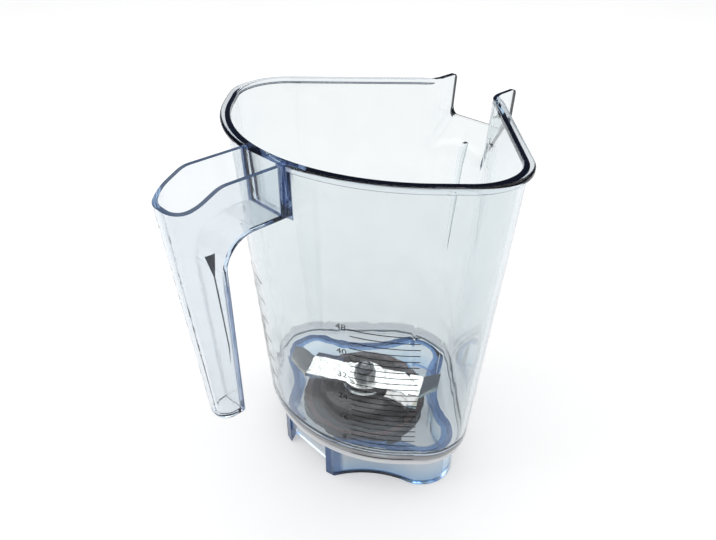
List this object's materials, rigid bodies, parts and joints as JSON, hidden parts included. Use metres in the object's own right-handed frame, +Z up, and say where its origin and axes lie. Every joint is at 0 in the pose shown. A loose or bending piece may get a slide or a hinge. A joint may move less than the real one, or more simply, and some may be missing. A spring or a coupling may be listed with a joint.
{
  "type": "blender jar",
  "caption": "Clear tapered blender jar with a pouring spout, hollow hanging handle, lobed foot and a blade that spins on a sealed bearing cartridge in its floor.",
  "frame": {"origin": "on the drive axis, in the plane of the foot", "axes": "+Z up along the drive axis, +X to the spout, -X to the handle"},
  "size_m": [0.2141, 0.1886, 0.208],
  "materials": {
    "clear_plastic": "clear gloss, pale blue in the thick edges",
    "polished_steel": "polished",
    "blade_steel": "ground and polished",
    "bearing_steel": "ground",
    "socket_steel": "machined",
    "dark_plastic": "satin black brown",
    "black_rubber": "matte"
  },
  "bodies": {
    "jar_body": {"jar": "clear_plastic", "housing_gasket": "black_rubber", "bearing_housing": "dark_plastic", "clamp_washer": "black_rubber", "retaining_nut": "dark_plastic", "upper_bearing_outer_ring": "bearing_steel", "upper_bearing_balls": "bearing_steel", "upper_bearing_shield": "black_rubber", "lower_bearing_outer_ring": "bearing_steel", "lower_bearing_balls": "bearing_steel", "lower_bearing_shield": "black_rubber", "bearing_circlip": "bearing_steel", "shaft_seal": "black_rubber", "seal_cap": "polished_steel"},
    "rotor": {"drive_shaft": "polished_steel", "drive_socket": "socket_steel", "upper_bearing_inner_ring": "bearing_steel", "lower_bearing_inner_ring": "bearing_steel", "bearing_spacer": "bearing_steel", "seat_washer": "polished_steel", "blade": "blade_steel", "lock_washer": "polished_steel", "cap_nut": "polished_steel"}
  },
  "joints": [
    {"name": "blade_spin", "type": "hinge", "parent": "jar_body", "child": "rotor", "pos_m": [0, 0, 0.037], "axis": [0, 0, 1], "continuous": true}
  ]
}
